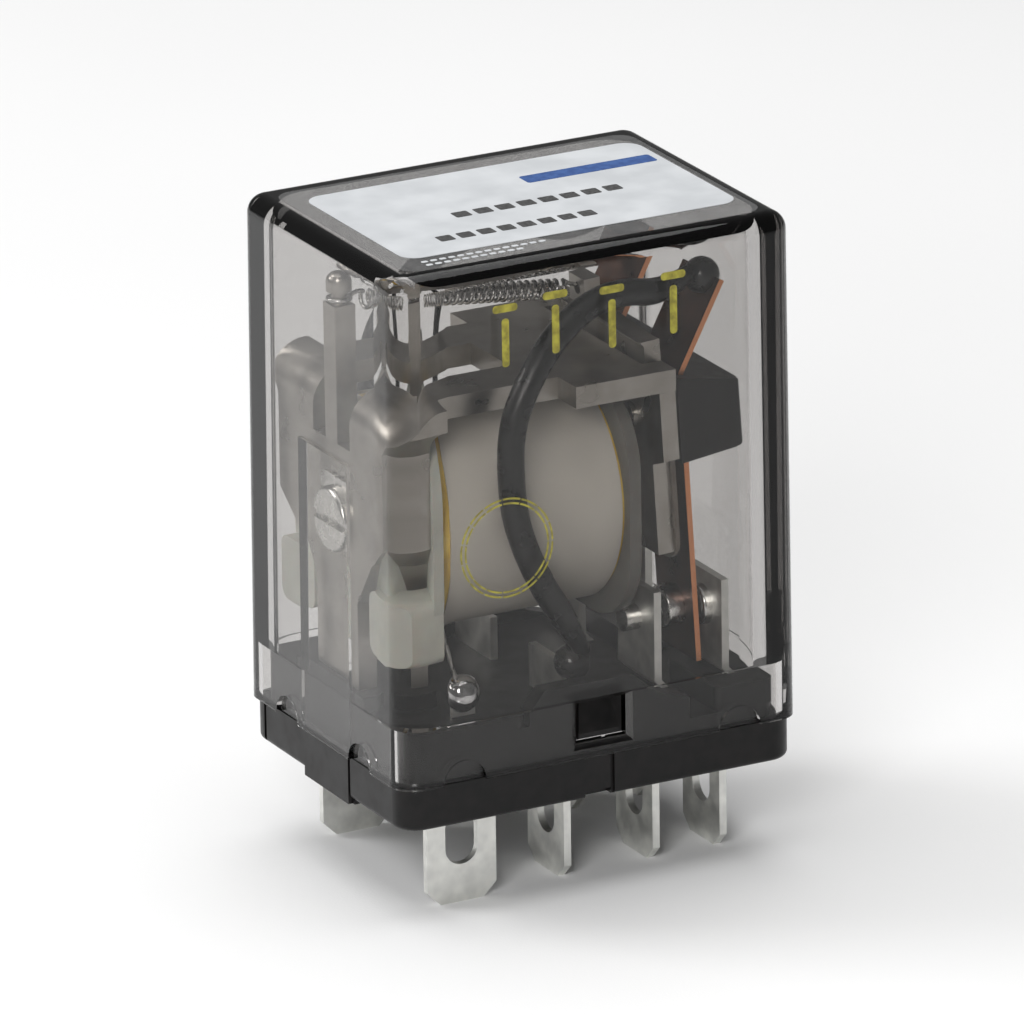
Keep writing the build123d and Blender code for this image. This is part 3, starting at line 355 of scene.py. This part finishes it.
SPRING_START = Vector((-9.9, 0, 31.13))
SPRING_END = Vector((2.9, 0, 29.72))
SPRING_TURNS = 26
SPRING_COIL = 0.53
WIRE = 0.14
STEPS_PER_TURN = 12
POST_X = -11.5
POST_RING = 0.72
RING_LEVEL = 31.5


def spring_routes():
    """A helix along the spring's line, a ring round the post and a hook through the tab."""
    run = SPRING_END - SPRING_START
    along = run.normalized()
    across = Vector((0, 1, 0))
    up = across.cross(along) * -1
    steps = STEPS_PER_TURN * SPRING_TURNS
    helix = []
    for i in range(steps + 1):
        turn = 2 * pi * i / STEPS_PER_TURN
        place = SPRING_START + run * (i / steps) + SPRING_COIL * (cos(turn) * up + sin(turn) * across)
        helix.append(tuple(place))
    ring = [(POST_X + POST_RING * cos(a * pi / 6), POST_RING * sin(a * pi / 6), RING_LEVEL)
            for a in range(12)]
    left = [(POST_X + 0.7, 0, RING_LEVEL), (-10.3, 0, 31.85), helix[0]]
    right = [helix[-1], (3.5, 0, 29.75), (5.15, 0, 29.6)]
    return [(helix, False), (ring, True), (left, False), (right, False)]


coil_spring = tube_mesh("wound_spring", spring_routes(), WIRE, spring)
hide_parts("return_spring")
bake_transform(coil_spring)


# ---- Thin print: film and white panel on the roof, marks on the front wall ----------------------------
def rounded_outline(x0, x1, y0, y1, radius, count=8):
    """Corner-rounded rectangle as a list of (x, y)."""
    centres = ((x1 - radius, y1 - radius, 0), (x0 + radius, y1 - radius, 90),
               (x0 + radius, y0 + radius, 180), (x1 - radius, y0 + radius, 270))
    return [(cx + radius * cos(radians(start + 90 * i / count)),
             cy + radius * sin(radians(start + 90 * i / count)))
            for cx, cy, start in centres for i in range(count + 1)]


def slab(name, outlines, place, material):
    """Thin solid prisms between two levels; place(u, v, level) gives the point in millimetres."""
    verts, faces = [], []
    for outline in outlines:
        first, count = len(verts), len(outline)
        for level in (0, 1):
            verts += [tuple(c * MM for c in place(u, v, level)) for u, v in outline]
        faces.append(list(range(first + count - 1, first - 1, -1)))
        faces.append(list(range(first + count, first + 2 * count)))
        for i in range(count):
            j = (i + 1) % count
            faces.append([first + i, first + j, first + count + j, first + count + i])
    mesh = bpy.data.meshes.new(name)
    mesh.from_pydata(verts, [], faces)
    mesh.materials.append(material)
    piece = bpy.data.objects.new(name, mesh)
    bpy.context.scene.collection.objects.link(piece)
    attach(piece, "housing")
    return piece


def on_roof(bottom, top):
    """Places flat outlines between two heights."""
    return lambda u, v, level: (u, v, top if level else bottom)


WALL_Y, WALL_DRAFT, WALL_BOTTOM, WALL_HEIGHT = 10.7, 0.25, 2.8, 32.9
INK_INNER, INK_OUTER = 0.002, 0.02


def on_front(u, v, level):
    """Places outlines on the drafted front wall, a hair proud of it."""
    wall = WALL_Y - WALL_DRAFT * (v - WALL_BOTTOM) / WALL_HEIGHT
    return (u, -wall - (INK_OUTER if level else INK_INNER), v)


def film_material():
    """Clear label film that shows the smoky roof below."""
    material, tree, shader, _ = new_tree("label_film")
    tree.links.new(ramp(tree, noise(tree, 900), [(0.3, (0.17, 0.17, 0.17)), (0.7, (0.24, 0.24, 0.24))]),
                   shader.inputs["Base Color"])
    shader.inputs["Roughness"].default_value = 0.25
    shader.inputs["Alpha"].default_value = 0.35
    return material


white_print = surface("white_print", (0.58, 0.6, 0.62), (0.65, 0.67, 0.69), (0.3, 0.42), 0.0, 400,
                      relief=0.00001)
blue_print = surface("blue_print", (0.03, 0.08, 0.26), (0.05, 0.12, 0.34), (0.3, 0.42), 0.0, 2500)
dark_print = surface("dark_print", (0.03, 0.03, 0.03), (0.09, 0.09, 0.09), (0.4, 0.6), 0.0, 5000)
yellow_ink = surface("yellow_ink", (0.2, 0.175, 0.02), (0.4, 0.36, 0.045), (0.45, 0.6), 0.0, 2600)

film_piece = slab("label_film", [rounded_outline(-12.4, 12.4, -9.25, 8.65, 1.2)],
                  on_roof(35.705, 35.74), film_material())
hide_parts("label")
slab("label_panel", [rounded_outline(-11.2, 11.9, -7.1, 6.9, 1.2)], on_roof(35.745, 35.775),
     white_print)
slab("label_bar", [rounded_outline(2.3, 11.4, 2.6, 4.0, 0.2)], on_roof(35.778, 35.79), blue_print)


def dash_row(start, end, centre, height, pitch):
    """Plain bars of equal length with gaps between them."""
    count = int((end - start) / pitch)
    return [rounded_outline(start + i * pitch, start + (i + 0.72) * pitch, centre - height / 2,
                            centre + height / 2, 0.12, 3) for i in range(count)]


slab("label_dashes", dash_row(-4.7, 8.7, -0.8, 1.0, 1.5) + dash_row(-7.7, 3.9, -4.5, 1.0, 1.4),
     on_roof(35.778, 35.79), dark_print)

slab("label_rows", dash_row(-10.6, -1.5, -7.85, 0.3, 0.62) + dash_row(-10.6, -3.4, -8.5, 0.3, 0.62),
     on_roof(35.745, 35.76), white_print)

# Plain ink marks: four short double bars and a broken double ring, with no characters in them.
stamps = []
for u, v in ((-6.3, 31.1), (-2.85, 31.4), (1.05, 31.1), (5.3, 31.3)):
    stamps.append(rounded_outline(u - 0.85, u + 0.85, v + 1.5, v + 2.0, 0.2, 3))
    stamps.append(rounded_outline(u - 0.25, u + 0.25, v - 2.0, v + 1.1, 0.2, 3))
RING_U, RING_V, RING_INK = -6.47, 17.5, 0.06
for ring_radius in (2.85, 3.15):
    for i in range(15):
        arcs = [radians(24 * i + 22 * k / 6) for k in range(7)]
        outer, inner = ring_radius + RING_INK, ring_radius - RING_INK
        stamps.append([(RING_U + outer * cos(a), RING_V + outer * sin(a)) for a in arcs]
                      + [(RING_U + inner * cos(a), RING_V + inner * sin(a)) for a in reversed(arcs)])
slab("ink_marks", stamps, on_front, yellow_ink)


# ---- Floor, lights ---------------------------------------------------------------------------------
def make_stage():
    """A pale floor under the blades."""
    mesh = bpy.data.meshes.new("floor")
    low = CAD_BOX[0][2]
    mesh.from_pydata([(-3, -3, low), (3, -3, low), (3, 3, low), (-3, 3, low)], [], [(0, 1, 2, 3)])
    mesh.materials.append(surface("floor", (0.86, 0.86, 0.86), (0.9, 0.9, 0.9), (0.7, 0.8), 0.0, 8,
                                  specular=0.1))
    floor = bpy.data.objects.new("floor", mesh)
    bpy.context.scene.collection.objects.link(floor)


def area_light(name, place, aim, size, power):
    """A square soft box that points at a place."""
    data = bpy.data.lights.new(name, "AREA")
    data.size = size
    data.energy = power
    light = bpy.data.objects.new(name, data)
    bpy.context.scene.collection.objects.link(light)
    light.location = place
    light.rotation_euler = (Vector(aim) - Vector(place)).to_track_quat("-Z", "Y").to_euler()


make_stage()
CENTRE = (0, 0, 0.015)
area_light("top", (0.0, 0.05, 0.6), CENTRE, 0.6, 2.9)
area_light("key", (-0.35, -0.4, 0.3), CENTRE, 0.22, 1.5)
area_light("back", (-0.42, 0.32, 0.34), CENTRE, 0.25, 1.5)
world = bpy.data.worlds.new("world")
world.use_nodes = True
world.node_tree.nodes["Background"].inputs["Color"].default_value = (1, 1, 1, 1)
world.node_tree.nodes["Background"].inputs["Strength"].default_value = 0.2
bpy.context.scene.world = world
bpy.context.scene.view_settings.view_transform = "Standard"
